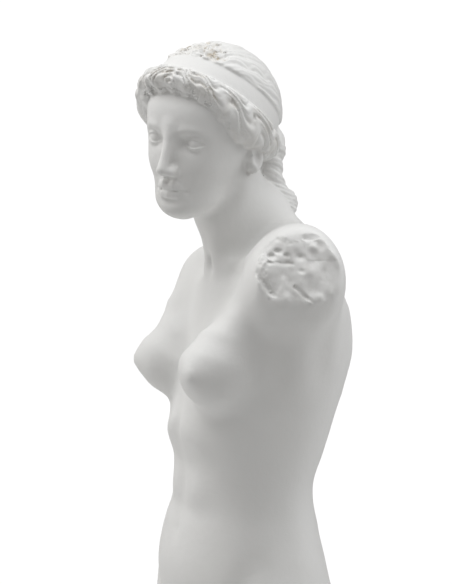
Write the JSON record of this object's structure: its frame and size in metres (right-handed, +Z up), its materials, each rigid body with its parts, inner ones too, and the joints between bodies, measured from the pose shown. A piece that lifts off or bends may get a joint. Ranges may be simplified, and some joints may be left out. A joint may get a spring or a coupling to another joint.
{
  "type": "aphrodite statue",
  "caption": "Armless standing female statue of classical type in white plaster: banded wavy hair, broken shoulders, cloth rolled at the hips, low slab base.",
  "frame": {"origin": "middle of the base's underside", "axes": "+Z up, the statue's front looks along -Y, its left side is towards +X"},
  "size_m": [0.49, 0.5, 1.9705],
  "materials": {
    "plaster": "matt white casting plaster, slightly grey-beige in the hollows of the hair and the breaks"
  },
  "bodies": {
    "root": {"statue": "plaster"}
  },
  "joints": []
}
